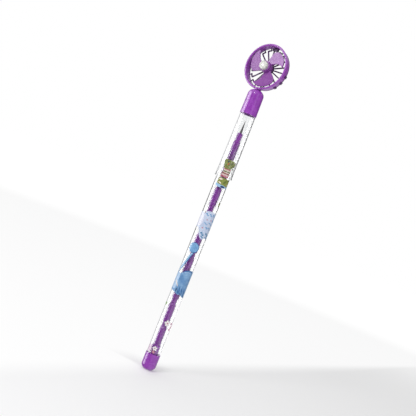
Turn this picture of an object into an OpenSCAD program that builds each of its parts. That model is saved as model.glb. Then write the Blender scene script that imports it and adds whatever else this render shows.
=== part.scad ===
// Stacking-point pencil: a clear barrel holds a stack of short pencil points, a clear cap covers
// the front one, and a small wind-spun fan swivels on top of the cap.
// The pencil stands along +Z with its end plug at the origin, and the fan faces -Y.

/* [Barrel] */
// Outside diameter of the clear barrel
barrel_d = 8; // [7.8:0.1:8.2]
// Diameter of the bore that the points slide in
bore_d = 5; // [4.8:0.1:5.2]
// Outside diameter of the nose that guides the front point
nose_d = 6.2; // [5.6:0.1:6.6]
// Length of the front point that the nose holds
nose_hold = 5.5; // [4:0.1:6]
// Step from the barrel down to the seat under the cap
seat_step = 0.05; // [0.03:0.01:0.1]

/* [End plug] */
// Diameter of the end plug
plug_d = 8.5; // [8.3:0.1:8.6]
// Height of the end plug below the barrel
plug_h = 9.6; // [8:0.1:11]
// Radius of the rounded bottom corner
plug_corner = 3; // [2:0.1:3.6]
// Height of the spigot inside the barrel
spigot_h = 5.2; // [3:0.1:6]

/* [Points] */
// Number of points in the stack
point_count = 9; // [5:1:11]
// Distance from one point to the next
point_pitch = 14; // [13.4:0.1:14.6]
// Diameter of a point's body
shell_d = 3.9; // [3.8:0.05:4.2]
// Length of a point's body, with its shoulder
shell_len = 10.9; // [10.6:0.1:11.2]
// Diameter of a point's nose
shell_nose_d = 3.1; // [3:0.05:3.2]
// Length of a point's nose
shell_nose_len = 4.6; // [4.4:0.1:5]
// Diameter of the lead
lead_d = 1.5; // [1.4:0.1:1.8]
// Length of the sharpened lead outside the nose
lead_tip_len = 7.4; // [6.5:0.1:7.5]

/* [Cap] */
// Outside diameter of the clear sleeve at its mouth
mouth_d = 9.8; // [9.7:0.05:10]
// Outside diameter of the clear sleeve at the dome
sleeve_top_d = 9.1; // [9:0.05:9.4]
// Diameter of the lip round the mouth
lip_d = 10.1; // [10:0.05:10.4]
// Length of barrel that the sleeve covers
cap_overlap = 10.3; // [8:0.1:12]
// Length of the sleeve from its mouth to the dome
sleeve_len = 37.7; // [37:0.1:42]
// Diameter of the dome at its rim
dome_d = 9.7; // [9.5:0.05:10.2]
// Height of the dome
dome_h = 14.8; // [14.6:0.1:18]
// Radius of the dome's rounded shoulder
dome_corner = 3.3; // [2.4:0.1:3.5]

/* [Fan] */
// Outside diameter of the guard ring at its front
ring_d = 27; // [26:0.1:28]
// Wall of the guard ring at its front
ring_wall = 1.2; // [1.1:0.1:1.4]
// How much the guard ring's outside narrows in radius towards its back
ring_draft = 0.7; // [0.4:0.1:0.7]
// How far the guard ring reaches in front of the pencil's axis
ring_front = 2; // [1.8:0.1:2.4]
// How far the guard ring reaches behind the pencil's axis
ring_back = 2.4; // [2.3:0.1:2.6]
// Number of blades
blade_count = 3; // [2:1:4]
// Largest radius of a blade
blade_r = 11.5; // [10.5:0.1:11.6]
// How far a blade's front tip sweeps clockwise
blade_sweep = 43; // [34:1:46]
// Pitch of a blade about its own length
blade_pitch = 10; // [6:1:11]
// Direction of the first blade, seen from the front
blade_angle = 50; // [0:1:119]
// Number of ribs in the rear grille
rib_count = 18; // [12:6:18]
// How far a rib's end hooks round clockwise
rib_hook = 12; // [6:1:14]

/* [Hidden] */
$fn = 64;
nothing = 0.01;
running = 0.05;
past = 1;
bite = 0.3;

// Heights along the pencil
stack_z = plug_h + spigot_h;
front_z = stack_z + (point_count - 1) * point_pitch;
shoulder_drop = 0.6;
shoulder_z = front_z - shoulder_drop;
nose_top_z = front_z + nose_hold;
mouth_z = shoulder_z - cap_overlap;
dome_z = mouth_z + sleeve_len;
dome_top_z = dome_z + dome_h;
neck_gap = 0.3;
fan_z = dome_top_z + neck_gap + ring_d / 2;

// Barrel
seat_r = barrel_d / 2 - seat_step;
nose_bore_gap = 0.1;
nose_bore_r = shell_d / 2 + nose_bore_gap;
seat_lead_in = 0.7;
nose_chamfer = 0.6;
edge_chamfer = 0.2;

// Points
shoulder_h = 0.9;
shell_end = shell_len + shell_nose_len;
tail_depth = shell_end - point_pitch;
chamber_r = 1.3;
chamber_end = shell_len - 0.9;
lead_tip_r = 0.12;
socket_gap = 0.07;

// Cap
seat_gap = 0.07;
ledge_gap = 0.2;
cap_bore_r = seat_r + seat_gap;
ledge_z = shoulder_z + ledge_gap;
sleeve_bore_r = 3.9;
sleeve_neck_r = 4;
sleeve_neck_bore_r = 3.4;
sleeve_neck_h = 5;
lip_h = 0.7;
dome_draft = 0.2;
dome_top_wall = 1.8;
cavity_r = 3.6;
cavity_corner = 2.4;

// Swivel under the fan
stem_r = 1.1;
collar_r = 2;
clip_r = 2;
clip_h = 1.4;
clip_gap = 0.3;
stem_end_z = dome_top_z - dome_top_wall - clip_gap - clip_h;

// Fan, measured along w, which points to the front from the pencil's axis
ring_r = ring_d / 2;
ring_bore_r = ring_r - ring_wall;
ring_back_r = ring_r - ring_draft;
hub_r = 3.2;
hub_back = -1.7;
hub_front = 2.6;
hub_cap_r = 2.5;
hub_cap_front = 4.6;
hub_cap_wall = 0.8;
axle_r = 0.6;
blade_mid = 0.35;
blade_root_r = hub_r - 0.6;
blade_steps = 12;
blade_crown = 23;
lead_root = 18.5;
trail_root = 46;
trail_end = 32;
tip_drop = 0.5;
outer_drop = 1.6;
outer_power = 1.8;
corner_drop = 0.9;
corner_power = 9;
tip_r = blade_r - tip_drop;
corner_r = blade_r - outer_drop - corner_drop;
blade_t = 0.8;
boss_r = 2.8;
boss_front = hub_back - 0.4;
boss_back = -hub_cap_front;
boss_corner = 1.4;
grille_t = 0.6;
rib_w = 0.7;
rib_r = 11.05;
rib_angle = 16;
rib_inset = 0.05;
link_w = 0.5;
link_in = 0.12;
hook_start = 0.9;
hook_steps = 6;
lug_w = 1.5;
lug_bore_r = ring_back_r + 0.2;
lug_r = lug_bore_r + 0.35;
lug_reach = 1;
lug_count = 3;
lug_pitch = 18;
first_lug = -47;
catch_w = 3.3;
catch_drop = 1.8;
catch_gap = 0.3;
catch_front = -1.3;
washer_t = 0.3;
washer_r = hub_r - 1;
axle_clip_r = hub_cap_r - 1.2;
axle_clip_t = 0.4;
axle_clip_gap = 0.1;
hub_cap_corner = 0.6;
axle_back = boss_back + 1;

// A disc whose upper edge is a true quarter round
module round_top(r, corner) {
    rotate_extrude() {
        square([r - corner, corner]);
        intersection() {
            translate([r - corner, 0]) circle(corner);
            square([r, corner]);
        }
    }
}

// Turns a shape drawn in the fan's own plane, with its front upwards, to face -Y
module in_fan_plane() {
    translate([0, 0, fan_z]) rotate([90, 0, 0]) children();
}

// A ring about the fan's axis, from one depth to another
module fan_tube(r_out, r_in, back, front) {
    translate([0, 0, back]) difference() {
        cylinder(h = front - back, r = r_out, $fn = 128);
        translate([0, 0, -past]) cylinder(h = front - back + 2 * past, r = r_in, $fn = 128);
    }
}

module barrel_tube() {
    wall_z = plug_h + edge_chamfer;
    lead_in_z = mouth_z - seat_lead_in;
    color([0.86, 0.92, 0.95, 0.4]) difference() {
        union() {
            translate([0, 0, plug_h])
                cylinder(h = edge_chamfer, r1 = barrel_d / 2 - edge_chamfer, r2 = barrel_d / 2);
            translate([0, 0, wall_z]) cylinder(h = lead_in_z - wall_z, r = barrel_d / 2);
            translate([0, 0, lead_in_z]) cylinder(h = seat_lead_in, r1 = barrel_d / 2, r2 = seat_r);
            translate([0, 0, mouth_z]) cylinder(h = cap_overlap - nose_chamfer, r = seat_r);
            translate([0, 0, shoulder_z - nose_chamfer])
                cylinder(h = nose_chamfer, r1 = seat_r, r2 = nose_d / 2);
            translate([0, 0, shoulder_z]) cylinder(h = nose_top_z - shoulder_z, r = nose_d / 2);
        }
        translate([0, 0, plug_h - past]) cylinder(h = shoulder_z - plug_h, r = bore_d / 2);
        translate([0, 0, plug_h]) cylinder(h = nose_top_z - plug_h + past, r = nose_bore_r);
    }
}

module end_plug() {
    spigot_r = bore_d / 2 - running;
    spigot_top = plug_h + spigot_h - running;
    color("mediumorchid") union() {
        translate([0, 0, plug_corner]) mirror([0, 0, 1]) round_top(plug_d / 2, plug_corner);
        translate([0, 0, plug_corner]) cylinder(h = plug_h - plug_corner, r = plug_d / 2);
        translate([0, 0, plug_h]) cylinder(h = spigot_h - running - edge_chamfer, r = spigot_r);
        translate([0, 0, spigot_top - edge_chamfer])
            cylinder(h = edge_chamfer, r1 = spigot_r, r2 = spigot_r - edge_chamfer);
    }
}

// One point's shell. Its tail takes the nose of the point behind it, and the chamber takes that point's lead.
module point_shell(place) {
    shell_r = shell_d / 2;
    shell_nose_r = shell_nose_d / 2;
    color("mediumorchid") translate([0, 0, stack_z + (place - 1) * point_pitch]) difference() {
        union() {
            cylinder(h = shell_len - shoulder_h, r = shell_r);
            translate([0, 0, shell_len - shoulder_h])
                cylinder(h = shoulder_h, r1 = shell_r, r2 = shell_nose_r);
            translate([0, 0, shell_len]) cylinder(h = shell_nose_len - edge_chamfer, r = shell_nose_r);
            translate([0, 0, shell_end - edge_chamfer])
                cylinder(h = edge_chamfer, r1 = shell_nose_r, r2 = shell_nose_r - edge_chamfer);
        }
        translate([0, 0, -past]) cylinder(h = tail_depth + past, r = shell_nose_r + socket_gap);
        cylinder(h = chamber_end, r = chamber_r);
        cylinder(h = shell_end + past, r = lead_d / 2);
    }
}

// One point's lead, held in the shell's nose and sharpened beyond it
module lead(place) {
    color("dimgray") translate([0, 0, stack_z + (place - 1) * point_pitch]) union() {
        translate([0, 0, chamber_end]) cylinder(h = shell_end - chamber_end, r = lead_d / 2);
        translate([0, 0, shell_end]) cylinder(h = lead_tip_len, r1 = lead_d / 2, r2 = lead_tip_r);
    }
}

module cap_sleeve() {
    neck_top_z = dome_z + sleeve_neck_h;
    color([0.86, 0.92, 0.95, 0.4]) difference() {
        union() {
            translate([0, 0, mouth_z]) cylinder(h = lip_h, r = lip_d / 2);
            translate([0, 0, mouth_z]) cylinder(h = sleeve_len, r1 = mouth_d / 2, r2 = sleeve_top_d / 2);
            translate([0, 0, dome_z]) cylinder(h = sleeve_neck_h, r = sleeve_neck_r);
        }
        translate([0, 0, mouth_z - past]) cylinder(h = ledge_z - mouth_z + past, r = cap_bore_r);
        translate([0, 0, ledge_z - nothing])
            cylinder(h = neck_top_z - ledge_z + 2 * nothing, r1 = sleeve_bore_r, r2 = sleeve_neck_bore_r);
    }
}

module cap_dome() {
    straight_h = dome_h - dome_corner;
    cavity_z = dome_z + sleeve_neck_h;
    cavity_top_z = dome_top_z - dome_top_wall;
    top_r = dome_d / 2 - dome_draft;
    color("mediumorchid") difference() {
        union() {
            translate([0, 0, dome_z]) cylinder(h = straight_h, r1 = dome_d / 2, r2 = top_r);
            translate([0, 0, dome_z + straight_h]) round_top(top_r, dome_corner);
        }
        translate([0, 0, dome_z - past]) cylinder(h = sleeve_neck_h + past, r = sleeve_neck_r);
        translate([0, 0, cavity_z - nothing])
            cylinder(h = cavity_top_z - cavity_corner - cavity_z + nothing, r = cavity_r);
        translate([0, 0, cavity_top_z - cavity_corner]) round_top(cavity_r, cavity_corner);
        translate([0, 0, cavity_z]) cylinder(h = dome_top_z - cavity_z + past, r = stem_r + running);
    }
}

// Snap collar on the end of the fan's stem, inside the dome
module swivel_clip() {
    color("lightgray") translate([0, 0, stem_end_z]) difference() {
        cylinder(h = clip_h, r = clip_r);
        translate([0, 0, -past]) cylinder(h = clip_h + 2 * past, r = stem_r);
    }
}

// Round-lipped guard ring with its neck and swivel stem
module guard_ring() {
    lip_r = ring_wall / 2;
    neck_z = dome_top_z + neck_gap / 2;
    color("mediumorchid") union() {
        in_fan_plane() rotate_extrude($fn = 128) {
            polygon([
                [ring_bore_r, -ring_back], [ring_back_r, -ring_back],
                [ring_r, ring_front - lip_r], [ring_bore_r, ring_front - lip_r]
            ]);
            intersection() {
                translate([ring_r - lip_r, ring_front - lip_r]) circle(lip_r);
                translate([ring_bore_r, ring_front - lip_r]) square([ring_wall, lip_r]);
            }
        }
        difference() {
            union() {
                translate([0, 0, stem_end_z]) cylinder(h = fan_z - ring_bore_r - stem_end_z, r = stem_r);
                translate([0, 0, neck_z]) cylinder(h = fan_z - ring_bore_r - neck_z, r = collar_r);
            }
            in_fan_plane() translate([0, 0, -ring_d / 2])
                cylinder(h = ring_d, r = ring_bore_r + bite, $fn = 128);
        }
    }
}

// Outline of a rib's hooked end, which runs clockwise from the rib
function arc_side(r, from, to) = [
    for (k = [0 : hook_steps]) let (a = from + (to - from) * k / hook_steps) [r * cos(a), r * sin(a)]
];
function hook_outline() = concat(
    arc_side(rib_r - rib_w / 2, hook_start, -rib_hook),
    arc_side(rib_r + rib_w / 2, -rib_hook, hook_start)
);

// A rib: straight out from the boss, hooked at its end, with a thin link out to the rim
module rib() {
    translate([0, 0, rib_inset]) linear_extrude(grille_t - 2 * rib_inset) {
        translate([boss_r - bite, -rib_w / 2]) square([rib_r - boss_r + bite, rib_w]);
        polygon(hook_outline());
        rotate(-rib_hook) translate([rib_r, link_in]) square([ring_bore_r + bite - rib_r, link_w]);
    }
}

// Lug that clips over the guard ring's edge
module lug(angle) {
    intersection() {
        rotate([0, 0, angle]) translate([ring_bore_r, -lug_w / 2, -ring_back - grille_t])
            cube([ring_wall + past, lug_w, grille_t + lug_reach]);
        union() {
            fan_tube(lug_r, ring_back_r - 2 * bite, -ring_back - grille_t, -ring_back);
            fan_tube(lug_r, lug_bore_r, -ring_back - nothing, -ring_back + lug_reach);
        }
    }
}

// Grille of hooked ribs with the axle's boss, lugs low on both sides and a catch at the top
module rear_grille() {
    back = -ring_back - grille_t;
    color("rebeccapurple") in_fan_plane() difference() {
        union() {
            fan_tube(ring_back_r, ring_bore_r, back, -ring_back);
            for (k = [0 : rib_count - 1])
                rotate([0, 0, rib_angle + k * 360 / rib_count]) translate([0, 0, back]) rib();
            for (k = [0 : lug_count - 1]) {
                lug(first_lug + k * lug_pitch);
                lug(180 - first_lug - k * lug_pitch);
            }
            translate([-catch_w / 2, ring_bore_r - catch_drop, back])
                cube([catch_w, catch_drop + bite, grille_t]);
            translate([-catch_w / 2, ring_bore_r - catch_drop, -ring_back - nothing])
                cube([catch_w, catch_drop - catch_gap, catch_front + ring_back + nothing]);
            translate([0, 0, boss_back + boss_corner]) {
                cylinder(h = boss_front - boss_back - boss_corner, r = boss_r);
                mirror([0, 0, 1]) round_top(boss_r, boss_corner);
            }
        }
        translate([0, 0, axle_back]) cylinder(h = boss_front - boss_back, r = axle_r);
    }
}

module axle_pin() {
    color("silver") in_fan_plane() translate([0, 0, axle_back])
        cylinder(h = hub_cap_front - axle_back - running, r = axle_r);
}

// Thin washer between the hub and the boss
module thrust_washer() {
    color("white") in_fan_plane() fan_tube(washer_r, axle_r, boss_front, boss_front + washer_t);
}

// Retaining washer pressed on the axle, hidden under the hub's cap
module axle_clip() {
    clip_back = hub_front + axle_clip_gap;
    color("silver") in_fan_plane() fan_tube(axle_clip_r, axle_r, clip_back, clip_back + axle_clip_t);
}

// Outline of a blade: a leading edge that sweeps clockwise to a tip, a round outer edge, and a
// nearly straight trailing edge
function at(r, a) = [r * cos(a), r * sin(a)];
function lead_angle(r) =
    -lead_root - (blade_sweep - lead_root) * pow((r - blade_root_r) / (tip_r - blade_root_r), 2);
function trail_angle(r) =
    trail_root - (trail_root - trail_end) * (r - blade_root_r) / (corner_r - blade_root_r);
function outer_r(a) =
    let (fall = (a + blade_crown) / (trail_end + blade_crown))
    a < -blade_crown
        ? blade_r - tip_drop * pow((a + blade_crown) / (blade_sweep - blade_crown), 2)
        : blade_r - outer_drop * pow(fall, outer_power) - corner_drop * pow(fall, corner_power);
function blade_outline() = concat(
    [for (k = [0 : blade_steps - 1])
        let (r = blade_root_r + (tip_r - blade_root_r) * k / blade_steps) at(r, lead_angle(r))],
    [for (k = [0 : 2 * blade_steps])
        let (a = -blade_sweep + (trail_end + blade_sweep) * sin(45 * k / blade_steps)) at(outer_r(a), a)],
    [for (k = [blade_steps - 1 : -1 : 0])
        let (r = blade_root_r + (corner_r - blade_root_r) * k / blade_steps) at(r, trail_angle(r))]
);

module impeller() {
    color("plum") in_fan_plane() difference() {
        union() {
            translate([0, 0, hub_back]) cylinder(h = hub_front - hub_back, r = hub_r);
            for (k = [0 : blade_count - 1])
                rotate([0, 0, blade_angle + k * 360 / blade_count]) translate([0, 0, blade_mid])
                    rotate([-blade_pitch, 0, 0]) linear_extrude(blade_t, center = true)
                        polygon(blade_outline());
        }
        translate([0, 0, hub_back - past])
            cylinder(h = hub_front - hub_back + 2 * past, r = axle_r + running);
    }
}

// Pale cap snapped on the hub, with the axle's end in its middle
module hub_cap() {
    corner = hub_cap_corner;
    color("whitesmoke") in_fan_plane() difference() {
        union() {
            translate([0, 0, hub_front]) cylinder(h = hub_cap_front - hub_front - corner, r = hub_cap_r);
            translate([0, 0, hub_cap_front - corner]) round_top(hub_cap_r, corner);
        }
        translate([0, 0, hub_front - past])
            cylinder(h = hub_cap_front - hub_front - hub_cap_wall + past, r = hub_cap_r - hub_cap_wall);
        translate([0, 0, hub_front]) cylinder(h = hub_cap_front, r = axle_r + running);
    }
}

barrel_tube();
end_plug();
for (i = [1 : point_count]) {
    point_shell(i);
    lead(i);
}
cap_sleeve();
cap_dome();
swivel_clip();
guard_ring();
rear_grille();
axle_pin();
thrust_washer();
axle_clip();
impeller();
hub_cap();
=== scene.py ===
"""Looks of the stacking-point pencil with a fan topper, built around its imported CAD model."""

import math

import bmesh
import bpy
from mathutils import Matrix, Vector


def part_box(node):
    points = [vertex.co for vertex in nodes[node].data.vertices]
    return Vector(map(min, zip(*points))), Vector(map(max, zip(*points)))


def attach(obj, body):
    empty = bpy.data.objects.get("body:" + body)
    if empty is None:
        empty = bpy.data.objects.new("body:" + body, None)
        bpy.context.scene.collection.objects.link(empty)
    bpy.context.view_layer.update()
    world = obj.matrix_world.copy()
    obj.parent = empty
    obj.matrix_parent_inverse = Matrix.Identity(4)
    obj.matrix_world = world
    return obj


MM = 0.001

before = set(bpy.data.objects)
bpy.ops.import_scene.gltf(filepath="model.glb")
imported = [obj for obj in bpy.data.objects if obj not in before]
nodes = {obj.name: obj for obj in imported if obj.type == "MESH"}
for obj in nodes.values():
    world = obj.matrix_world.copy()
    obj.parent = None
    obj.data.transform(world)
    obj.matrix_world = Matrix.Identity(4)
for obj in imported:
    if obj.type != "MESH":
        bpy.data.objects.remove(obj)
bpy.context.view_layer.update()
scene = bpy.context.scene

# ---------------------------------------------------------------- places taken from the frame
tube_low, tube_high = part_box("barrel_tube")
sleeve_low, sleeve_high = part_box("cap_sleeve")
BARREL_R = (tube_high.x - tube_low.x) / 2
SEAT_R = BARREL_R - 0.05 * MM  # the barrel under the cap

# ---------------------------------------------------------------- camera
CAM_AZIMUTH = math.radians(35.3)
CAM_ROLL = math.radians(21.65)
CAM_DISTANCE = 415.7 * MM
CAM_HEIGHT = 96.7 * MM
CAM_ASIDE = -1.55 * MM
CAM_LENS = 64.04
SENSOR = 36.0

UP = Vector((0, 0, 1))
TO_CAMERA = Vector((math.sin(CAM_AZIMUTH), -math.cos(CAM_AZIMUTH), 0))
RIGHT = Vector((math.cos(CAM_AZIMUTH), math.sin(CAM_AZIMUTH), 0))
FACING = math.atan2(TO_CAMERA.y, TO_CAMERA.x)


def place_camera():
    data = bpy.data.cameras.new("camera")
    data.lens = CAM_LENS
    data.sensor_width = SENSOR
    data.clip_start = 0.01
    data.clip_end = 50
    camera = bpy.data.objects.new("camera", data)
    scene.collection.objects.link(camera)
    x = RIGHT * math.cos(CAM_ROLL) + UP * math.sin(CAM_ROLL)
    y = UP * math.cos(CAM_ROLL) - RIGHT * math.sin(CAM_ROLL)
    turn = Matrix((x, y, TO_CAMERA)).transposed()
    spot = TO_CAMERA * CAM_DISTANCE + UP * CAM_HEIGHT + RIGHT * CAM_ASIDE
    camera.matrix_world = Matrix.Translation(spot) @ turn.to_4x4()
    scene.camera = camera


# ---------------------------------------------------------------- node helpers
def linear(red, green, blue):
    """Linear colour from sRGB 0 to 255."""
    out = []
    for value in (red, green, blue):
        v = value / 255
        out.append(v / 12.92 if v <= 0.04045 else ((v + 0.055) / 1.055) ** 2.4)
    return (*out, 1.0)


class Nodes:
    """Short calls for building one node tree."""

    def __init__(self, tree):
        self.tree = tree
        self.tree.nodes.clear()

    def add(self, kind, **settings):
        node = self.tree.nodes.new(kind)
        for key, value in settings.items():
            setattr(node, key, value)
        return node

    def link(self, source, target):
        self.tree.links.new(source, target)

    def put(self, target, value):
        """A number is set on the socket, and an output is linked to it."""
        if isinstance(value, bpy.types.NodeSocket):
            self.link(value, target)
        else:
            target.default_value = value

    def math(self, operation, *values):
        node = self.add("ShaderNodeMath", operation=operation)
        for socket, value in zip(node.inputs, values):
            self.put(socket, value)
        return node.outputs[0]

    def ramp(self, value, low, high, out_low=0.0, out_high=1.0, smooth=True):
        kind = "SMOOTHSTEP" if smooth else "LINEAR"
        node = self.add("ShaderNodeMapRange", interpolation_type=kind)
        self.put(node.inputs["Value"], value)
        for name, number in (
            ("From Min", low), ("From Max", high), ("To Min", out_low), ("To Max", out_high)
        ):
            self.put(node.inputs[name], number)
        return node.outputs[0]

    def blend(self, share, first, second):
        node = self.add("ShaderNodeMix", data_type="RGBA")
        self.put(node.inputs["Factor"], share)
        self.put(node.inputs[6], first)
        self.put(node.inputs[7], second)
        return node.outputs[2]

    def noise(self, scale, detail=2.0, where=None, distortion=0.0):
        node = self.add("ShaderNodeTexNoise")
        node.inputs["Scale"].default_value = scale
        node.inputs["Detail"].default_value = detail
        node.inputs["Distortion"].default_value = distortion
        if where is not None:
            self.link(where, node.inputs["Vector"])
        return node.outputs["Fac"]

    def local(self):
        return self.add("ShaderNodeTexCoord").outputs["Object"]

    def along(self, place, direction):
        """How far a place or direction lies along another direction."""
        node = self.add("ShaderNodeVectorMath", operation="DOT_PRODUCT")
        self.link(place, node.inputs[0])
        node.inputs[1].default_value = direction
        return node.outputs["Value"]

    def bump(self, height, distance, strength):
        node = self.add("ShaderNodeBump")
        node.inputs["Strength"].default_value = strength
        node.inputs["Distance"].default_value = distance
        self.link(height, node.inputs["Height"])
        return node.outputs["Normal"]


def new_material(name):
    material = bpy.data.materials.new(name)
    material.use_nodes = True
    return material, Nodes(material.node_tree)


def principled(n, **inputs):
    shader = n.add("ShaderNodeBsdfPrincipled")
    for name, value in inputs.items():
        n.put(shader.inputs[name.replace("_", " ")], value)
    return shader


def output(n, shader):
    n.link(shader, n.add("ShaderNodeOutputMaterial").inputs["Surface"])


# ---------------------------------------------------------------- materials
# Noise scales, in waves per metre: slow flow marks, uneven gloss and satin grain
FLOW_MARKS = 260
GLOSS_PATCHES = 700
SATIN = 5200
SATIN_DEPTH = 0.002 * MM
GRAPHITE_GRAIN = 3800
GRAPHITE_DEPTH = 0.02 * MM
WIRE_WEAR = 2400
WIRE_TINT = 900
HAZE_FLOW = 140
COAT_ROUGHNESS = 0.12

# Clear plastic: the skin that mirrors, the soft end at the wall's top, and its gloss
SKIN_DEEP = 0.35 * MM
SKIN_THIN = 0.1 * MM
WALL_FADE = 0.4 * MM
WALL_ROUGHNESS = 0.12
GLOSS_ROUGHNESS = 0.04
GLOSS_LIMIT = 0.06
PLASTIC_IOR = 1.45
CAP_WALL_R = 4.55 * MM

INK_ROUGHNESS = 0.35
INK_SPECKLE = 6500


def moulded(name, main, shade, roughness=0.3, gloss=0.5, coat=0.0):
    """Moulded plastic: flow marks in its colour, a fine satin grain and slightly uneven gloss."""
    material, n = new_material(name)
    where = n.local()
    flow = n.noise(FLOW_MARKS, 3.0, where, 0.6)
    colour = n.blend(n.ramp(flow, 0.3, 0.7), shade, main)
    patches = n.noise(GLOSS_PATCHES, 2.0, where)
    uneven = n.ramp(patches, 0.3, 0.7, roughness * 0.85, roughness * 1.2)
    normal = n.bump(n.noise(SATIN, 2.0, where), SATIN_DEPTH, 0.3)
    shader = principled(
        n, Base_Color=colour, Roughness=uneven, Normal=normal, Specular_IOR_Level=gloss
    )
    shader.inputs["Coat Weight"].default_value = coat
    shader.inputs["Coat Roughness"].default_value = COAT_ROUGHNESS
    output(n, shader.outputs[0])
    return material


def clear_plastic(name, wall_r, wall_top, share, haze):
    """Clear plastic: it lets everything through, mirrors its surroundings where its outer wall,
    up to wall_top, is seen nearly edge on, and carries a little moulding haze."""
    material, n = new_material(name)
    where = n.local()
    apart = n.add("ShaderNodeSeparateXYZ")
    n.link(where, apart.inputs[0])
    out = n.math("SQRT", n.math(
        "ADD",
        n.math("MULTIPLY", apart.outputs[0], apart.outputs[0]),
        n.math("MULTIPLY", apart.outputs[1], apart.outputs[1]),
    ))
    outer = n.ramp(out, wall_r - SKIN_DEEP, wall_r - SKIN_THIN, 0.03, 1.0)
    bare = n.ramp(apart.outputs[2], wall_top, wall_top + WALL_FADE, 1.0, 0.1)
    outer = n.math("MULTIPLY", outer, bare)
    facing = n.add("ShaderNodeLayerWeight")
    facing.inputs["Blend"].default_value = 0.5
    grazing = facing.outputs["Facing"]
    rising = n.ramp(grazing, 0.44, 0.66)
    falling = n.ramp(grazing, 0.8, 0.95, 1.0, 0.15)
    line = n.math("MULTIPLY", n.math("MULTIPLY", rising, falling), outer)
    flow = n.ramp(n.noise(HAZE_FLOW, 2.0, where), 0.35, 0.75)
    through = n.add("ShaderNodeBsdfTransparent")
    through.inputs["Color"].default_value = (0.985, 0.988, 0.99, 1)
    body = principled(n, Base_Color=linear(214, 216, 220), Roughness=0.3)
    hazed = n.add("ShaderNodeMixShader")
    n.put(hazed.inputs[0], n.math("MULTIPLY", flow, haze))
    n.link(through.outputs[0], hazed.inputs[1])
    n.link(body.outputs[0], hazed.inputs[2])
    mirror = n.add("ShaderNodeBsdfGlossy")
    mirror.inputs["Roughness"].default_value = WALL_ROUGHNESS
    mirror.inputs["Color"].default_value = (0.9, 0.9, 0.92, 1)
    edge = n.add("ShaderNodeMixShader")
    n.put(edge.inputs[0], n.math("MULTIPLY", line, share))
    n.link(hazed.outputs[0], edge.inputs[1])
    n.link(mirror.outputs[0], edge.inputs[2])
    shine = n.add("ShaderNodeFresnel")
    shine.inputs["IOR"].default_value = PLASTIC_IOR
    gloss = n.add("ShaderNodeBsdfGlossy")
    gloss.inputs["Roughness"].default_value = GLOSS_ROUGHNESS
    both = n.add("ShaderNodeMixShader")
    n.put(both.inputs[0], n.math("MINIMUM", shine.outputs[0], GLOSS_LIMIT))
    n.link(edge.outputs[0], both.inputs[1])
    n.link(gloss.outputs[0], both.inputs[2])
    output(n, both.outputs[0])
    return material


def brushed(name, colour):
    material, n = new_material(name)
    where = n.local()
    wear = n.ramp(n.noise(WIRE_WEAR, 3.0, where), 0.3, 0.7, 0.25, 0.45)
    tint = n.blend(n.noise(WIRE_TINT, 2.0, where), colour, linear(215, 214, 212))
    output(n, principled(n, Base_Color=tint, Roughness=wear, Metallic=1.0).outputs[0])
    return material


def graphite(name):
    material, n = new_material(name)
    where = n.local()
    grain = n.noise(GRAPHITE_GRAIN, 4.0, where)
    tint = n.blend(n.ramp(grain, 0.3, 0.7), linear(46, 43, 44), linear(92, 88, 88))
    normal = n.bump(grain, GRAPHITE_DEPTH, 0.5)
    output(n, principled(n, Base_Color=tint, Roughness=0.42, Normal=normal).outputs[0])
    return material


TRIM = moulded("purple_trim", linear(150, 62, 178), linear(138, 52, 166), 0.26, 0.5, 0.25)
POINT = moulded("purple_point", linear(132, 46, 156), linear(122, 38, 146), 0.32)
FAN = moulded("purple_fan", linear(152, 70, 176), linear(140, 60, 164), 0.28, 0.5, 0.2)
GRILLE = moulded("purple_grille", linear(74, 24, 92), linear(64, 18, 80), 0.36)
BLADE = moulded("purple_blade", linear(140, 72, 158), linear(132, 64, 150), 0.34, 0.5)
PALE = moulded("pale_cap", linear(206, 206, 200), linear(196, 196, 190), 0.3)
NYLON = moulded("white_nylon", linear(228, 227, 222), linear(216, 215, 208), 0.5, 0.4)
STEEL = brushed("axle_steel", linear(170, 170, 172))
LEAD = graphite("graphite")
CLEAR_BARREL = clear_plastic("clear_barrel", BARREL_R, sleeve_low.z, 0.75, 0.02)
CLEAR_CAP = clear_plastic("clear_cap", CAP_WALL_R, sleeve_high.z, 0.95, 0.03)

NODE_MATERIAL = {
    "barrel_tube": CLEAR_BARREL,
    "cap_sleeve": CLEAR_CAP,
    "end_plug": TRIM,
    "cap_dome": TRIM,
    "guard_ring": FAN,
    "rear_grille": GRILLE,
    "impeller": BLADE,
    "hub_cap": PALE,
    "swivel_clip": NYLON,
    "thrust_washer": NYLON,
    "axle_pin": STEEL,
    "axle_clip": STEEL,
}
for name, node in nodes.items():
    if name.startswith("point_shell"):
        chosen = POINT
    elif name.startswith("lead"):
        chosen = LEAD
    else:
        chosen = NODE_MATERIAL[name]
    node.data.materials.clear()
    node.data.materials.append(chosen)


# ---------------------------------------------------------------- printed film and painted highlights
def ink(name, colour, second=None, pattern=None):
    """Transfer-printed ink, also for painted highlights: fine speckle, and a second colour where its
    pattern is.
    """
    material, n = new_material(name)
    where = n.local()
    base = colour
    if pattern is not None:
        base = n.blend(pattern(n, where), colour, second)
    speckle = n.ramp(n.noise(INK_SPECKLE, 1.0, where), 0.25, 0.8)
    darker = n.add("ShaderNodeMix", data_type="RGBA", blend_type="MULTIPLY")
    n.put(darker.inputs["Factor"], 1.0)
    n.put(darker.inputs[6], base)
    n.link(n.blend(speckle, (0.86, 0.86, 0.88, 1), (1, 1, 1, 1)), darker.inputs[7])
    shader = principled(n, Base_Color=darker.outputs[2], Roughness=INK_ROUGHNESS)
    output(n, shader.outputs[0])
    return material


FILM_T = 0.02 * MM
INK_COAT = 0.002 * MM
CUT_STEP = 0.3


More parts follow.
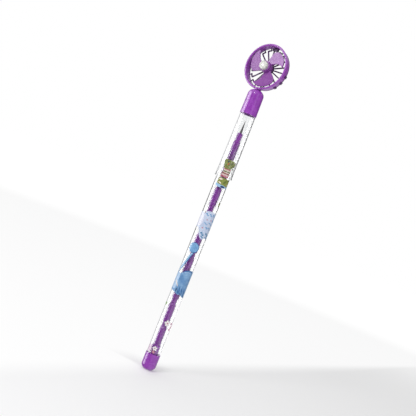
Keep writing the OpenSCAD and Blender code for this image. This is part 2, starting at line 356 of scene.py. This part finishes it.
def film(name, outline, material, coat=2, seat=False):
    """A thin printed piece on the barrel, or a painted highlight laid on like one. The outline
    is in mm: along the girth from the camera's side, to the right, and up the pencil. Later coats lie
    over earlier ones."""
    wall = SEAT_R if seat else BARREL_R
    radius = wall + coat * INK_COAT
    bm = bmesh.new()
    bm.faces.new([bm.verts.new((x, y, 0)) for x, y in outline])
    low = min(x for x, _ in outline)
    high = max(x for x, _ in outline)
    cut = low + CUT_STEP
    while cut < high:
        whole = bm.verts[:] + bm.edges[:] + bm.faces[:]
        bmesh.ops.bisect_plane(bm, geom=whole, plane_co=(cut, 0, 0), plane_no=(1, 0, 0))
        cut += CUT_STEP
    bmesh.ops.triangulate(bm, faces=bm.faces[:])
    bm.verts.ensure_lookup_table()
    top = bmesh.ops.extrude_face_region(bm, geom=bm.faces[:])
    raised = {v for v in top["geom"] if isinstance(v, bmesh.types.BMVert)}
    for vert in bm.verts:
        out = radius + (FILM_T if vert in raised else 0)
        angle = FACING + vert.co.x * MM / wall
        vert.co = (out * math.cos(angle), out * math.sin(angle), vert.co.y * MM)
    bmesh.ops.recalc_face_normals(bm, faces=bm.faces[:])
    mesh = bpy.data.meshes.new(name)
    bm.to_mesh(mesh)
    bm.free()
    mesh.materials.append(material)
    piece = bpy.data.objects.new(name, mesh)
    scene.collection.objects.link(piece)
    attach(piece, "barrel")


def smooth_outline(points, steps=6):
    """Closed Catmull-Rom curve through the points."""
    count = len(points)
    out = []
    for i in range(count):
        a, b, c, d = (points[(i + j - 1) % count] for j in range(4))
        for k in range(steps):
            t = k / steps
            out.append(tuple(
                0.5 * (
                    2 * b[m] + (c[m] - a[m]) * t
                    + (2 * a[m] - 5 * b[m] + 4 * c[m] - d[m]) * t * t
                    + (3 * b[m] - a[m] - 3 * c[m] + d[m]) * t ** 3
                ) for m in (0, 1)
            ))
    return out


def disc(x, z, r, squash=1.0, lean=0.0, count=28):
    out = []
    for i in range(count):
        t = 2 * math.pi * i / count
        u, v = r * math.cos(t), r * squash * math.sin(t)
        out.append((
            x + u * math.cos(lean) - v * math.sin(lean),
            z + u * math.sin(lean) + v * math.cos(lean),
        ))
    return out


def aside(x):
    """Girth distance whose sideways place, seen from the camera, is x mm."""
    r = BARREL_R / MM
    return r * math.asin(max(-0.999, min(0.999, x / r)))


def stroke(path, wide):
    """Outline of a line drawn along a path, narrower at both ends."""
    left, right = [], []
    last = len(path) - 1
    for i, (x, z) in enumerate(path):
        before, after = path[max(i - 1, 0)], path[min(i + 1, last)]
        along = Vector((after[0] - before[0], after[1] - before[1])).normalized()
        half = wide / 2 * (0.55 if i in (0, last) else 1.0)
        left.append((x - along.y * half, z + along.x * half))
        right.append((x + along.y * half, z - along.x * half))
    return left + right[::-1]


def wave(x, z, long, high, turns=1.0, steps=10):
    """Path of a wavy line that starts at a place and runs to the right."""
    return [(
        x + long * k / steps, z + high * math.sin(2 * math.pi * turns * k / steps)
    ) for k in range(steps + 1)]


PINK = ink("ink_pink", linear(226, 178, 190))
ROSE = ink("ink_rose", linear(196, 122, 142))
WHITE = ink("ink_white", linear(240, 238, 236))
LEAF = ink("ink_leaf", linear(112, 158, 62))
OLIVE = ink("ink_olive", linear(136, 146, 66))
NAVY = ink("ink_navy", linear(36, 62, 112))
DEEP = ink("ink_deep_blue", linear(48, 104, 160))
# Sky blue: print, and the balloon's painted highlight
SKY_AND_HIGHLIGHT = ink("ink_sky_and_highlight", linear(160, 198, 230))
RED = ink("ink_red", linear(196, 92, 104))
CREAM = ink("ink_cream", linear(238, 222, 206))
ORANGE = ink("ink_orange", linear(212, 112, 74))
CLOTH = ink(
    "ink_cloth", linear(96, 142, 192), linear(132, 174, 214),
    lambda n, where: n.ramp(n.noise(420, 2.0, where, 0.8), 0.35, 0.7),
)
BALLOON = ink(
    "ink_balloon", linear(104, 156, 206), linear(132, 180, 222),
    lambda n, where: n.ramp(n.noise(300, 1.0, where), 0.3, 0.7),
)
DARK_OLIVE = ink("ink_dark_olive", linear(96, 108, 48))
# Lighter cloth blue: the pouch's painted highlight, and its drawn rim line
LIGHT_CLOTH_AND_HIGHLIGHT = ink("ink_light_cloth_and_highlight", linear(164, 194, 226))
LILAC = ink("ink_lilac", linear(232, 208, 228))
# The label's painted highlight: its left side in a whiter ink
LABEL_HIGHLIGHT = ink("ink_label_highlight", linear(222, 224, 240))
WAVE = ink("ink_wave", linear(104, 158, 204))
DEEP_WAVE = ink("ink_deep_wave", linear(72, 132, 172))
ROSE_PALE = ink("ink_rose_pale", linear(206, 152, 178))
RED_DARK = ink("ink_dark_red", linear(158, 84, 84))
CREAM_DARK = ink("ink_dark_cream", linear(198, 176, 150))
OLIVE_LIGHT = ink("ink_light_olive", linear(152, 164, 92))
PALE_LABEL = ink(
    "ink_label", linear(206, 216, 236), linear(190, 204, 230),
    lambda n, where: n.ramp(n.noise(500, 2.0, where), 0.3, 0.7),
)


def flower(name, x, z, r, petal, heart, turn=0.0):
    for i in range(5):
        t = turn + 2 * math.pi * i / 5
        spot = (x + r * 0.6 * math.cos(t), z + r * 0.6 * math.sin(t))
        film(f"{name}_petal_{i}", disc(*spot, r * 0.44, 0.8, t, 16), petal, 2 + i)
    film(f"{name}_heart", disc(x, z, r * 0.26, count=12), heart, 15)


def leaf(name, x, z, long, wide, lean, material, coat=2, seat=False):
    tip = [(-long / 2, 0), (-long / 6, wide / 2), (long / 4, wide / 2.6), (long / 2, 0),
           (long / 4, -wide / 2.6), (-long / 6, -wide / 2)]
    turned = [(
        x + u * math.cos(lean) - v * math.sin(lean), z + u * math.sin(lean) + v * math.cos(lean)
    ) for u, v in smooth_outline(tip, 5)]
    film(name, turned, material, coat, seat)


def print_blossoms():
    """Blossoms and leaves on the lower barrel, and a leaf above the label."""
    film("print_blush", smooth_outline([
        (aside(-3.6), 11.0), (aside(-2.5), 9.9), (aside(-2.0), 11.6), (aside(-2.3), 13.8),
        (aside(-3.2), 15.0), (aside(-3.8), 13.4),
    ]), LILAC)
    film("print_bud", disc(aside(-2.5), 10.3, 0.42, 1.4), WHITE, 6)
    flower("print_blossom_1", aside(-0.3), 11.0, 0.9, ROSE, WHITE)
    flower("print_blossom_2", aside(-0.2), 13.1, 1.35, WHITE, ROSE, turn=0.5)
    flower("print_blossom_3", aside(1.2), 28.6, 1.75, WHITE, ROSE, turn=0.55)
    for i, (x, z, lean) in enumerate(((3.3, 28.9, 1.9), (3.55, 27.2, 1.5), (3.3, 25.5, 1.1))):
        leaf(f"print_petal_{i}", aside(x), z, 1.9, 1.3, lean, PINK if i % 2 else ROSE_PALE)
    leaf("print_leaf_1", aside(-3.55), 38.9, 2.4, 1.3, math.radians(80), LEAF)
    leaf("print_leaf_2", aside(3.55), 100.7, 2.9, 1.5, math.radians(95), OLIVE)


def print_pouch():
    """A blue cloth pouch, its left side painted lighter as a highlight, folds at its foot and a drawn
    rim.
    """
    film("print_pouch", smooth_outline([
        (-6.6, 48.6), (aside(-3.9), 47.4), (aside(-2.9), 46.9), (aside(-1.5), 46.4),
        (aside(0), 45.6), (aside(1.6), 45.9), (aside(2.8), 45.0), (aside(3.9), 44.6), (6.8, 45.4),
        (6.9, 52), (6.6, 59.4), (aside(3.8), 60.2), (aside(2), 60.4), (aside(0), 59.8),
        (aside(-1.4), 58.6), (aside(-2.2), 57.6), (aside(-3.2), 57.6), (aside(-3.9), 58.4),
        (-6.6, 58),
    ]), CLOTH)
    # Painted highlight: the pouch's left side in a lighter blue, where the left softbox is mirrored
    film("painted_highlight_pouch", smooth_outline([
        (-6.5, 49.2), (aside(-3.6), 48.4), (aside(-2.6), 48.2), (aside(-1.9), 50.4),
        (aside(-2.2), 54.0), (aside(-2.1), 57.2), (aside(-3.3), 57.4), (-6.4, 57.6),
    ]), LIGHT_CLOTH_AND_HIGHLIGHT, 4)
    film("print_strap", stroke([
        (aside(-3.4), 53.2), (aside(-2.6), 51.8), (aside(-1.9), 50.9), (aside(-1.2), 50.0)
    ], 0.5), CREAM, 7)
    folds = (
        ((-1.1, 49.2), (-1.4, 48.0), (-1.3, 46.9), 0.75, NAVY),
        ((0.1, 50.4), (0.3, 48.4), (0.9, 46.3), 0.6, DEEP),
        ((-0.6, 48.4), (-0.1, 47.0), (0.2, 46.2), 0.7, DEEP),
        ((1.4, 49.6), (1.7, 48.2), (2.3, 46.6), 0.75, DEEP),
        ((2.9, 49.0), (3.1, 47.2), (3.4, 45.6), 0.8, DEEP),
        ((1.0, 46.7), (1.6, 46.3), (2.2, 46.2), 0.45, NAVY),
        ((3.0, 45.9), (3.4, 45.4), (3.7, 45.1), 0.55, NAVY),
    )
    for i, (*path, wide, material) in enumerate(folds):
        film(f"print_fold_{i}", stroke([(aside(x), z) for x, z in path], wide), material, 7)
    film("print_rim", stroke([
        (aside(-1.6), 58.2), (aside(-0.4), 59.3), (aside(1.2), 60.0), (aside(2.6), 60.1),
        (aside(3.6), 59.7), (aside(3.85), 58.9)
    ], 0.45), DEEP, 7)
    film("print_rim_light", stroke([
        (aside(-1.3), 57.7), (aside(0.1), 58.7), (aside(1.6), 59.2), (aside(3.1), 58.8)
    ], 0.4), LIGHT_CLOTH_AND_HIGHLIGHT, 10)
    film("print_rim_mark", stroke([
        (aside(0.0), 57.2), (aside(0.8), 57.5), (aside(1.6), 57.4)
    ], 0.35), SKY_AND_HIGHLIGHT, 10)


def print_balloon():
    """A plain balloon with a two-tone ribbon that runs down the left side, and a painted highlight
    stroke on the balloon's left.
    """
    ribbon = [(0.3, 70.8), (-0.5, 68.4), (-1.3, 65.6), (-2.2, 62.8), (-2.9, 60.4), (-3.5, 57.8)]
    film("print_ribbon_light", stroke([(aside(x - 0.55), z) for x, z in ribbon], 1.15), SKY_AND_HIGHLIGHT)
    film("print_ribbon_dark", stroke([(aside(x + 0.05), z) for x, z in ribbon], 0.5), DEEP, 5)
    film("print_balloon_edge", disc(aside(-0.75), 73.3, 3.0, 1.0), DEEP, 8)
    film("print_balloon", disc(aside(-0.85), 73.35, 2.75, 1.0), BALLOON, 11)
    # Painted highlight: a light upright stroke where the left softbox is mirrored on the barrel
    film("painted_highlight_balloon", stroke([
        (aside(-2.5), 72.4), (aside(-2.6), 73.6), (aside(-2.3), 74.9)
    ], 0.6), SKY_AND_HIGHLIGHT, 14)


def print_label():
    """A light label band with waves and dots; its left side is painted whiter, a painted highlight.
    """
    film("print_label", smooth_outline([
        (-6.8, 85.8), (aside(-3.8), 85.2), (aside(-2.4), 84.6), (aside(-0.9), 81.0),
        (aside(0.4), 79.4), (aside(1.6), 79.0), (aside(2.6), 80.0), (aside(3.8), 79.6), (6.8, 80.4),
        (6.8, 94.4), (aside(3.8), 95.0), (aside(1), 95.4), (aside(-1.2), 95.0), (aside(-2), 93.6),
        (aside(-3.8), 94.0), (-6.8, 93.4),
    ]), PALE_LABEL)
    # Painted highlight: the label's left side in a whiter ink, where the left softbox is mirrored
    film("painted_highlight_label", smooth_outline([
        (-6.4, 86.2), (aside(-3.5), 85.8), (aside(-2.0), 86.4), (aside(-1.5), 89.6),
        (aside(-2.1), 93.0), (aside(-3.6), 93.4), (-6.3, 93),
    ]), LABEL_HIGHLIGHT, 4)
    waves = (
        (-1.3, 93.2, 1.7, 0.55, 1.0, 0.5), (0.9, 93.4, 1.5, 0.6, 1.0, 0.5),
        (3.0, 93.6, 1.6, 0.5, 1.0, 0.55), (-0.6, 88.0, 2.2, 0.4, 1.0, 0.45),
        (2.0, 88.6, 2.4, 0.4, 1.0, 0.45), (0.9, 86.0, 2.6, 0.5, 1.5, 0.45),
        (3.7, 90.6, 1.6, 0.5, 1.0, 0.5), (3.6, 85.6, 1.5, 0.6, 1.0, 0.5),
        (-0.3, 82.0, 2.0, 0.75, 1.0, 0.65), (2.4, 82.2, 2.3, 0.75, 1.0, 0.65),
        (0.2, 80.4, 1.8, 0.35, 1.0, 0.5), (3.0, 80.6, 1.4, 0.3, 1.0, 0.45),
    )
    for i, (x, z, long, high, turns, wide) in enumerate(waves):
        material = DEEP_WAVE if z < 83 else WAVE
        film(f"print_wave_{i}", stroke(wave(x, z, long, high, turns), wide), material, 7)
    for i, (x, z, r) in enumerate(((0.5, 90.4, 0.38), (2.7, 90.6, 0.38), (-0.4, 85.3, 0.42))):
        film(f"print_dot_{i}", disc(aside(x), z, r, 0.8, count=14), RED, 7)


def band(name, low, high, left, right, material, coat, seat, sag):
    """A stripe across the barrel that sags a little in its middle."""
    steps = [left + (right - left) * k / 8 for k in range(9)]
    middle, half = (left + right) / 2, (right - left) / 2
    drop = [sag * (1 - ((x - middle) / half) ** 2) for x in steps]
    outline = [(aside(x), low - d) for x, d in zip(steps, drop)]
    outline += [(aside(x), high - d) for x, d in zip(steps[::-1], drop)]
    film(name, outline, material, coat, seat)


def print_garden():
    """Leaves, stripes and dots round the barrel's upper end, partly under the cap."""
    band("print_sky_band", 110.3, 111.9, -2.7, 3.9, SKY_AND_HIGHLIGHT, 2, False, 0.5)
    film("print_pond", disc(aside(1.6), 110.5, 1.35, 0.42), NAVY, 6)
    film("print_garden", smooth_outline([
        (aside(-2.0), 111.8), (aside(0.4), 111.5), (aside(2.2), 111.3), (aside(3.7), 111.0),
        (aside(3.9), 113.2), (aside(3.6), 114.9), (aside(2.2), 115.4), (aside(0.0), 115.4),
        (aside(-1.9), 115.3), (aside(-2.2), 113.6),
    ]), OLIVE, 3)
    leaf("print_garden_leaf_1", aside(-0.9), 114.5, 2.4, 1.0, 0.1, CREAM, 7)
    leaf("print_garden_leaf_2", aside(-0.7), 112.4, 2.2, 0.8, -0.4, CREAM, 7)
    leaf("print_garden_leaf_3", aside(1.9), 113.3, 2.6, 0.9, 0.9, DARK_OLIVE, 7)
    leaf("print_garden_leaf_4", aside(3.4), 112.2, 1.9, 0.7, 1.4, CREAM_DARK, 7)
    stripes = (
        (116.05, 116.7, RED), (116.7, 117.4, PINK), (117.4, 117.75, CREAM), (117.75, 118.5, RED_DARK),
        (118.5, 119.0, CREAM), (119.0, 119.6, DARK_OLIVE), (119.6, 120.4, CREAM), (120.4, 121.0, RED),
    )
    for i, (low, high, material) in enumerate(stripes):
        left = -2.0 + 0.12 * i
        band(f"print_stripe_{i}", low, high, left, 2.6 + 0.1 * (i % 3), material, 2, True, 0.1)
    film("print_bush", smooth_outline([
        (aside(-1.5), 121.1), (aside(0.6), 120.9), (aside(2.4), 121.3), (aside(3.0), 122.4),
        (aside(3.8), 123.4), (aside(3.8), 125.4), (aside(2.2), 125.9), (aside(0.2), 126.0),
        (aside(-2.2), 125.9), (aside(-2.5), 124.4), (aside(-2.0), 122.6),
    ]), OLIVE, 3, True)
    leaf("print_bush_leaf_1", aside(-1.5), 123.4, 2.6, 0.9, 1.2, OLIVE_LIGHT, 7, True)
    leaf("print_bush_leaf_2", aside(1.9), 124.4, 3.0, 0.9, 0.6, DARK_OLIVE, 7, True)
    leaf("print_bush_leaf_3", aside(1.3), 122.3, 2.2, 0.8, -0.5, OLIVE_LIGHT, 7, True)
    leaf("print_bush_leaf_4", aside(3.3), 125.2, 2.0, 0.6, 0.3, CREAM, 7, True)
    leaf("print_bush_leaf_5", aside(3.3), 121.6, 1.5, 0.8, 0.5, DARK_OLIVE, 5, True)
    leaf("print_fruit", aside(0.1), 123.7, 1.5, 0.8, 1.3, ORANGE, 10, True)
    film("print_berry", disc(aside(-0.35), 125.2, 0.45, count=14), NAVY, 10, True)


print_blossoms()
print_pouch()
print_balloon()
print_label()
print_garden()


# ---------------------------------------------------------------- stage and light
FLOOR_SIDE = 12.0
FLOOR_GREY = (0.86, 0.86, 0.865, 1)
FLOOR_GLOW = 1.02
PAINTED_LIGHT_SHARE = 0.75  # how strongly the floor's bright side glows: painted light
FADE_NEAR, FADE_FAR = 0.25, 1.1
CLEAR_NEAR, CLEAR_FAR = 6 * MM, 32 * MM  # the base's contact shadow stays inside these; the painted light fades out there on the shadow's side
SHADOW_EDGE = 4 * MM
# Where the painted light gives way across the floor, and where the bare grey floor begins
PAINTED_LIGHT_END, GREY_START = -12 * MM, 10 * MM
# Ways along the floor: towards its grey side, away from the painted light, and where the shadow falls
SHADE_SIDE = (RIGHT * 0.862 + TO_CAMERA * 0.507).normalized()
SHADOW_WAY = (RIGHT * 0.495 - TO_CAMERA * 0.869).normalized()


def make_floor():
    side = FLOOR_SIDE
    mesh = bpy.data.meshes.new("floor")
    mesh.from_pydata(
        [(-side, -side, 0), (side, -side, 0), (side, side, 0), (-side, side, 0)], [], [(0, 1, 2, 3)]
    )
    floor = bpy.data.objects.new("floor", mesh)
    scene.collection.objects.link(floor)
    material, n = new_material("floor")
    spot = n.add("ShaderNodeNewGeometry").outputs["Position"]
    away = n.add("ShaderNodeVectorMath", operation="LENGTH")
    n.link(spot, away.inputs[0])
    far = n.ramp(away.outputs["Value"], FADE_NEAR, FADE_FAR)
    # Painted light: one side of the floor, past a line through the base, glows instead of taking
    # light from the lamps, kept off the base's shadow
    painted_light_side = n.ramp(n.along(spot, SHADE_SIDE), PAINTED_LIGHT_END, GREY_START, 1.0, 0.0)
    off_shadow = n.ramp(n.along(spot, SHADOW_WAY), -SHADOW_EDGE, SHADOW_EDGE, 1.0, 0.0)
    off_base = n.ramp(away.outputs["Value"], CLEAR_NEAR, CLEAR_FAR)
    clear_of = n.math("MAXIMUM", off_base, off_shadow)
    painted_light = n.math("MULTIPLY", n.math("MULTIPLY", painted_light_side, clear_of), PAINTED_LIGHT_SHARE)
    # The glow's share: the far floor as plain backdrop, and the painted light near the object
    glow_share = n.math("MAXIMUM", far, painted_light)
    shader = principled(n, Roughness=0.6, Specular_IOR_Level=0.2)
    shader.inputs["Base Color"].default_value = FLOOR_GREY
    glow = n.add("ShaderNodeEmission")
    glow.inputs["Color"].default_value = (1, 1, 1, 1)
    glow.inputs["Strength"].default_value = FLOOR_GLOW
    both = n.add("ShaderNodeMixShader")
    n.link(glow_share, both.inputs[0])
    n.link(shader.outputs[0], both.inputs[1])
    n.link(glow.outputs[0], both.inputs[2])
    output(n, both.outputs[0])
    mesh.materials.append(material)
    floor.visible_glossy = False


def area_light(name, spot, aim, wide, high, power):
    data = bpy.data.lights.new(name, "AREA")
    data.shape = "RECTANGLE"
    data.size = wide
    data.size_y = high
    data.energy = power
    light = bpy.data.objects.new(name, data)
    scene.collection.objects.link(light)
    light.location = spot
    light.rotation_euler = (Vector(aim) - Vector(spot)).to_track_quat("-Z", "Y").to_euler()
    light.visible_camera = False
    return light


# How bright the studio is round the object: degrees from the camera, to its right, and level.
# The second table is for what lies below the horizon.
STUDIO = (
    (-180, 0.70), (-140, 0.80), (-118, 0.80), (-108, 0.30), (-70, 0.20), (-8, 0.16), (16, 0.20),
    (21, 1.30), (38, 1.30), (46, 0.40), (95, 0.45), (112, 0.16), (150, 0.14), (180, 0.70),
)
STUDIO_LOW = (
    (-180, 0.70), (-150, 0.62), (-118, 0.62), (-108, 0.30), (-70, 0.20), (-12, 0.25), (14, 1.10),
    (80, 1.15), (110, 0.80), (180, 0.78),
)
STUDIO_TOP = 1.4
OVERHEAD = 1.0
LOW_CARD = 0.2

# A tall softbox at the left, which only the gloss shows
SOFTBOX_TURN = -92
SOFTBOX_AWAY = 1.0
SOFTBOX_WIDE = 0.72
SOFTBOX_LOW = -0.35
SOFTBOX_HIGH = 0.7
SOFTBOX_POWER = 17.0
# The lamp that casts the soft shadow, in front and to the left
KEY_SPOT = UP * 0.56 + TO_CAMERA * 0.62 - RIGHT * 0.36
KEY_SIDE = 0.22
KEY_POWER = 2.7
KEY_AIM = UP * 0.09


def make_light():
    world = bpy.data.worlds.new("studio")
    scene.world = world
    world.use_nodes = True
    n = Nodes(world.node_tree)
    seen = n.add("ShaderNodeLightPath").outputs["Is Camera Ray"]
    where = n.add("ShaderNodeTexCoord").outputs["Generated"]

    turn = n.math("ARCTAN2", n.along(where, RIGHT), n.along(where, TO_CAMERA))
    place = n.ramp(turn, -math.pi, math.pi, smooth=False)

    def around(table):
        node = n.add("ShaderNodeValToRGB")
        n.link(place, node.inputs[0])
        stops = node.color_ramp.elements
        while len(stops) < len(table):
            stops.new(0.5)
        for stop, (degrees, level) in zip(stops, table):
            stop.position = (degrees + 180) / 360
            stop.color = (level / STUDIO_TOP,) * 3 + (1,)
        return node.outputs["Color"]

    below = n.ramp(n.along(where, UP), -0.1, -0.03, 1.0, 0.0)
    level = n.math("MULTIPLY", n.blend(below, around(STUDIO), around(STUDIO_LOW)), STUDIO_TOP)
    behind = n.ramp(n.along(where, TO_CAMERA), -0.35, -0.2, 1.0, 0.0)
    low = n.ramp(n.along(where, UP), 0.04, 0.07, 1.0, 0.0)
    card = n.math("MULTIPLY", n.math("MULTIPLY", behind, low), n.math("SUBTRACT", 1.0, below))
    level = n.math("MULTIPLY", level, n.ramp(card, 0.0, 1.0, 1.0, LOW_CARD, smooth=False))
    above = n.ramp(n.along(where, UP), 0.35, 0.75)
    level = n.math(
        "ADD",
        n.math("MULTIPLY", level, n.math("SUBTRACT", 1.0, above)),
        n.math("MULTIPLY", above, OVERHEAD),
    )
    strength = n.math(
        "ADD", n.math("MULTIPLY", level, n.math("SUBTRACT", 1.0, seen)), seen
    )
    back = n.add("ShaderNodeBackground")
    back.inputs["Color"].default_value = (1, 1, 1, 1)
    n.link(strength, back.inputs["Strength"])
    n.link(back.outputs[0], n.add("ShaderNodeOutputWorld").inputs["Surface"])

    side = math.radians(SOFTBOX_TURN)
    aim = UP * (SOFTBOX_LOW + SOFTBOX_HIGH) / 2
    spot = aim + (RIGHT * math.sin(side) + TO_CAMERA * math.cos(side)) * SOFTBOX_AWAY
    high = SOFTBOX_HIGH - SOFTBOX_LOW
    softbox = area_light("softbox", spot, aim, SOFTBOX_WIDE, high, SOFTBOX_POWER)
    softbox.visible_diffuse = False
    area_light("key", KEY_SPOT, KEY_AIM, KEY_SIDE, KEY_SIDE, KEY_POWER)


place_camera()
make_floor()
make_light()
scene.view_settings.view_transform = "Standard"
